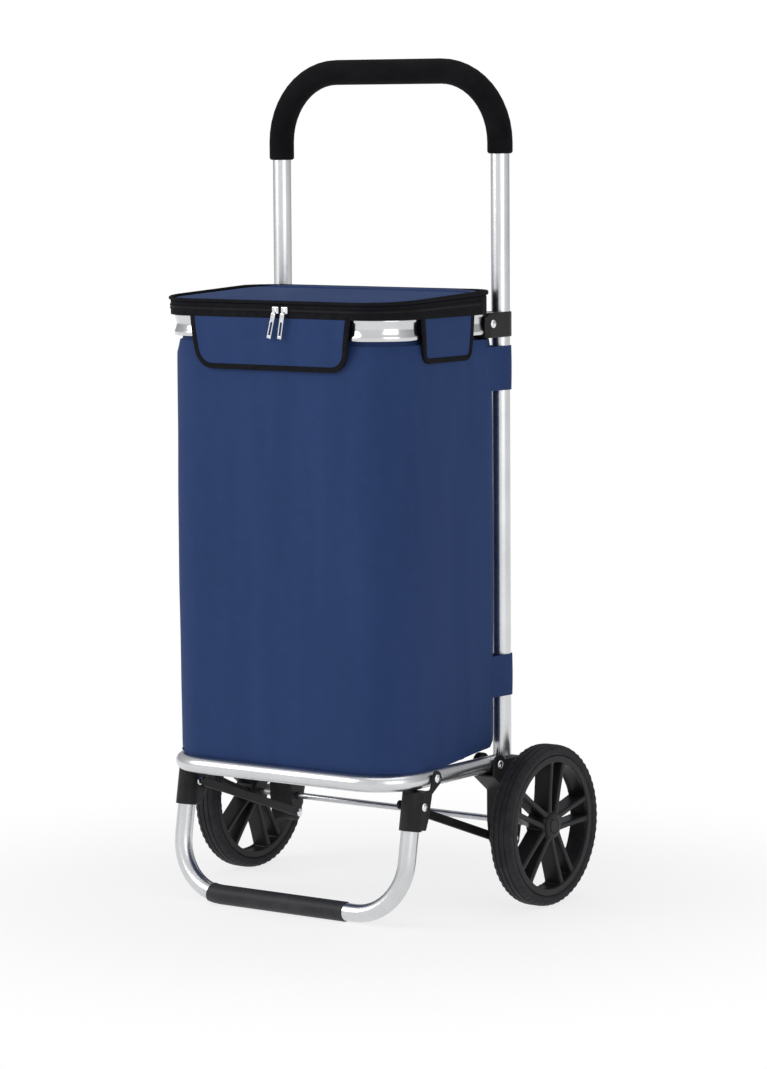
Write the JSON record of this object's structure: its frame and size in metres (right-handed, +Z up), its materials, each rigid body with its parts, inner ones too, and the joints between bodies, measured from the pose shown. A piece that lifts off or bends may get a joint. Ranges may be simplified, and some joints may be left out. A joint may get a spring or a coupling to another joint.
{
  "type": "folding shopping trolley",
  "caption": "Two-wheeled folding shopping trolley: bent aluminium handle frame, fold-up platform with foot stand, and a zip-lidded fabric bag hung on a folding ring.",
  "frame": {"origin": "bottom centre of the object's box, on the ground between wheels and foot bar", "axes": "+Z up, -Y to the front where the bag's flap is, +X to the right as seen from the front"},
  "size_m": [0.47, 0.3426, 1],
  "materials": {
    "aluminium": "satin anodised tube",
    "steel": "bright drawn rod",
    "chrome": "polished plating",
    "black_plastic": "moulded, low sheen",
    "tyre": "solid moulded tyre, matte",
    "foam": "closed-cell foam, matte",
    "sleeve": "soft sleeve, satin",
    "black_tape": "woven binding tape",
    "blue_fabric": "plain woven polyester, coated behind",
    "board": "stiffener board"
  },
  "bodies": {
    "rear_frame": {"handle_tube": "aluminium", "handle_grip": "foam", "wheel_bracket_left": "black_plastic", "wheel_bracket_right": "black_plastic", "platform_rivet_left": "chrome", "platform_rivet_right": "chrome", "link_rear_rivet_left": "chrome", "link_rear_rivet_right": "chrome", "ring_bracket_left": "black_plastic", "ring_bracket_right": "black_plastic", "ring_rivet_left": "chrome", "ring_rivet_right": "chrome", "tube_loop_upper_left": "blue_fabric", "tube_loop_upper_right": "blue_fabric", "tube_loop_lower_left": "blue_fabric", "tube_loop_lower_right": "blue_fabric", "axle": "steel", "axle_clip_left": "steel", "axle_clip_right": "steel", "bag_back": "blue_fabric", "bag_side_left": "blue_fabric", "bag_side_right": "blue_fabric"},
    "wheel_left": {"wheel_rim_left": "black_plastic", "tyre_left": "tyre", "hub_cap_left": "black_plastic"},
    "wheel_right": {"wheel_rim_right": "black_plastic", "tyre_right": "tyre", "hub_cap_right": "black_plastic"},
    "platform": {"platform_tube": "aluminium", "bag_floor": "blue_fabric", "base_board": "board"},
    "foot_stand": {"foot_tube": "aluminium", "foot_sleeve": "sleeve", "foot_socket_left": "black_plastic", "foot_socket_right": "black_plastic", "foot_rivet_left": "chrome", "foot_rivet_right": "chrome", "link_front_rivet_left": "chrome", "link_front_rivet_right": "chrome"},
    "link_left": {"fold_link_left": "black_plastic"},
    "link_right": {"fold_link_right": "black_plastic"},
    "ring": {"top_ring": "aluminium", "bag_rim": "black_tape", "zip_tape_lower": "black_tape", "lid_rear_strip": "blue_fabric"},
    "front_wall": {"bag_front": "blue_fabric"},
    "lid": {"lid_panel": "blue_fabric", "lid_piping": "black_tape", "zip_tape_upper": "black_tape"},
    "flap_front": {"front_flap": "blue_fabric"},
    "flap_left": {"side_flap_left": "blue_fabric"},
    "flap_right": {"side_flap_right": "blue_fabric"},
    "slider_left": {"zip_slider_left": "chrome"},
    "slider_right": {"zip_slider_right": "chrome"},
    "pull_left": {"zip_pull_left": "chrome"},
    "pull_right": {"zip_pull_right": "chrome"}
  },
  "joints": [
    {"name": "platform_fold", "type": "hinge", "parent": "rear_frame", "child": "platform", "pos_m": [0, 0.04275, 0.169], "axis": [-1, 0, 0], "range_deg": [0, 76], "deforming": ["bag_side_left", "bag_side_right", "lid_rear_strip"]},
    {"name": "foot_fold", "type": "hinge", "parent": "platform", "child": "foot_stand", "pos_m": [0, -0.08625, 0.17], "axis": [-1, 0, 0], "range_deg": [-97.1, 0]},
    {"name": "link_left_fold", "type": "hinge", "parent": "rear_frame", "child": "link_left", "pos_m": [-0.145, 0.07375, 0.075], "axis": [-1, 0, 0], "range_deg": [0, 48.9]},
    {"name": "link_right_fold", "type": "hinge", "parent": "rear_frame", "child": "link_right", "pos_m": [0.145, 0.07375, 0.075], "axis": [-1, 0, 0], "range_deg": [0, 48.9]},
    {"name": "ring_fold", "type": "hinge", "parent": "rear_frame", "child": "ring", "pos_m": [0, 0.03975, 0.69], "axis": [-1, 0, 0], "range_deg": [0, 76]},
    {"name": "front_wall_swing", "type": "hinge", "parent": "ring", "child": "front_wall", "pos_m": [0, -0.15525, 0.6755], "axis": [-1, 0, 0], "range_deg": [-76, 0]},
    {"name": "wheel_left_spin", "type": "hinge", "parent": "rear_frame", "child": "wheel_left", "pos_m": [-0.22, 0.07525, 0.096], "axis": [1, 0, 0], "continuous": true},
    {"name": "wheel_right_spin", "type": "hinge", "parent": "rear_frame", "child": "wheel_right", "pos_m": [0.22, 0.07525, 0.096], "axis": [1, 0, 0], "continuous": true},
    {"name": "lid_open", "type": "hinge", "parent": "ring", "child": "lid", "pos_m": [0, 0.01375, 0.7312], "axis": [1, 0, 0], "range_deg": [-100, 0]},
    {"name": "front_flap_lift", "type": "hinge", "parent": "ring", "child": "flap_front", "pos_m": [0, -0.16375, 0.7015], "axis": [-1, 0, 0], "range_deg": [0, 85]},
    {"name": "side_flap_left_lift", "type": "hinge", "parent": "ring", "child": "flap_left", "pos_m": [-0.1725, -0.05075, 0.7015], "axis": [0, 1, 0], "range_deg": [0, 85]},
    {"name": "side_flap_right_lift", "type": "hinge", "parent": "ring", "child": "flap_right", "pos_m": [0.1725, -0.05075, 0.7015], "axis": [0, -1, 0], "range_deg": [0, 85]},
    {"name": "zip_slider_left_run", "type": "slide", "parent": "ring", "child": "slider_left", "axis": [-1, 0, 0], "range_m": [0, 0.1]},
    {"name": "zip_slider_right_run", "type": "slide", "parent": "ring", "child": "slider_right", "axis": [1, 0, 0], "range_m": [0, 0.09]},
    {"name": "zip_pull_left_lift", "type": "hinge", "parent": "slider_left", "child": "pull_left", "pos_m": [0.0115, -0.1704, 0.7075], "axis": [-1, 0, 0], "range_deg": [0, 85]},
    {"name": "zip_pull_right_lift", "type": "hinge", "parent": "slider_right", "child": "pull_right", "pos_m": [0.0245, -0.1704, 0.7075], "axis": [-1, 0, 0], "range_deg": [0, 85]}
  ],
  "couplings": [
    {"joint": "foot_fold", "follows": "platform_fold", "ratio": -1.2708},
    {"joint": "link_left_fold", "follows": "platform_fold", "ratio": 0.6362},
    {"joint": "link_right_fold", "follows": "platform_fold", "ratio": 0.6362},
    {"joint": "ring_fold", "follows": "platform_fold", "ratio": 1},
    {"joint": "front_wall_swing", "follows": "platform_fold", "ratio": -1},
    {"joint": "zip_pull_left_lift", "follows": "front_flap_lift", "ratio": 1},
    {"joint": "zip_pull_right_lift", "follows": "front_flap_lift", "ratio": 1}
  ]
}
